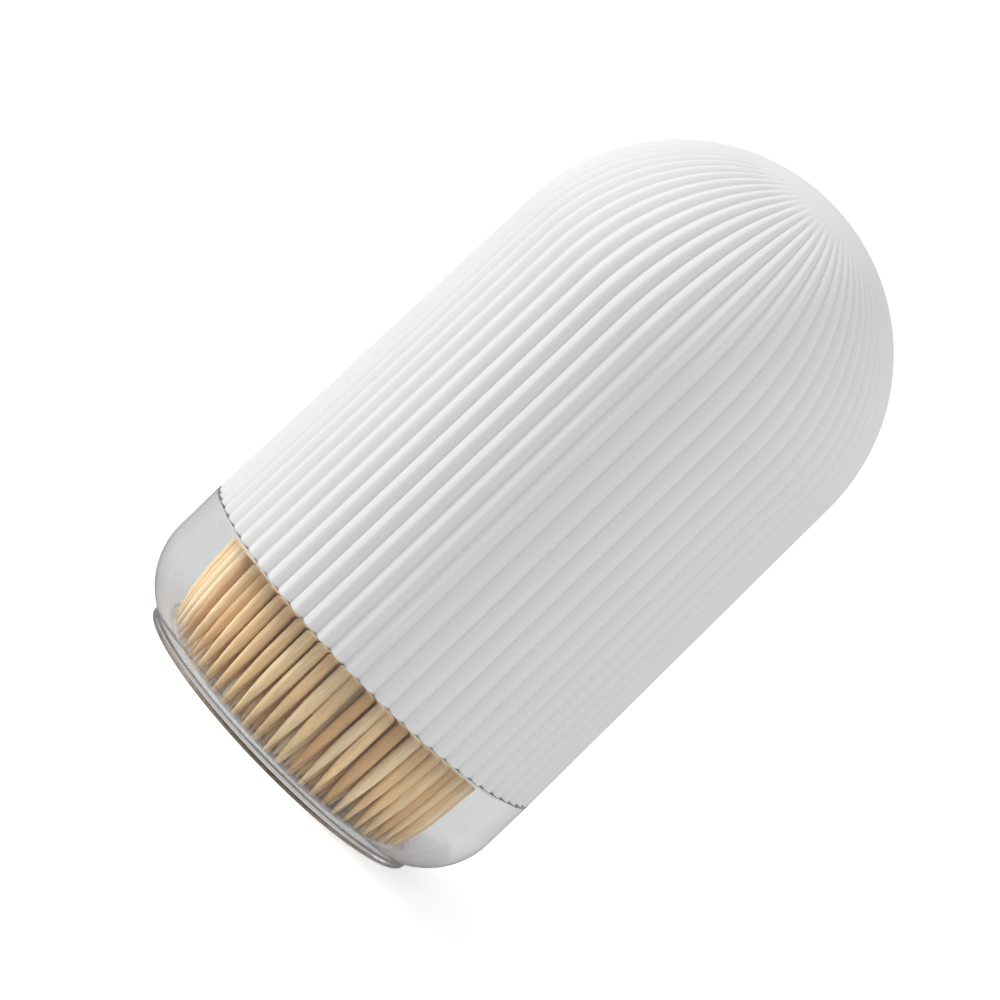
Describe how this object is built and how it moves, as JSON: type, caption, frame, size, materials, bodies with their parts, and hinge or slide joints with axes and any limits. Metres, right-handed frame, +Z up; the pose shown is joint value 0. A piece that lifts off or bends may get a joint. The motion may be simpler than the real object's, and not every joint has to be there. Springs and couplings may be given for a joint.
{
  "type": "toothpick holder",
  "caption": "Table toothpick holder: a clear round cup with a rounded bottom corner, a ribbed dome lid that lifts off its neck, and toothpicks standing inside.",
  "frame": {"origin": "centre of the foot's ring, on the surface that the holder stands on", "axes": "+Z up along the holder's axis, from the foot to the top of the dome; X and Y are alike, with a rib's middle on +X and a groove on -Y"},
  "size_m": [0.058, 0.058, 0.1012],
  "materials": {
    "clear_plastic": "clear, polished",
    "white_plastic": "fine satin white",
    "pick_wood": "bare, pale and smooth"
  },
  "bodies": {
    "cup": {"base_cup": "clear_plastic", "toothpicks_1": "pick_wood", "toothpicks_2": "pick_wood", "toothpicks_3": "pick_wood", "toothpicks_4": "pick_wood", "toothpicks_5": "pick_wood", "toothpicks_6": "pick_wood", "toothpicks_7": "pick_wood", "toothpicks_8": "pick_wood"},
    "lid": {"lid": "white_plastic"}
  },
  "joints": [
    {"name": "lid_lift", "type": "slide", "parent": "cup", "child": "lid", "axis": [0, 0, 1], "range_m": [0, 0.066]}
  ]
}
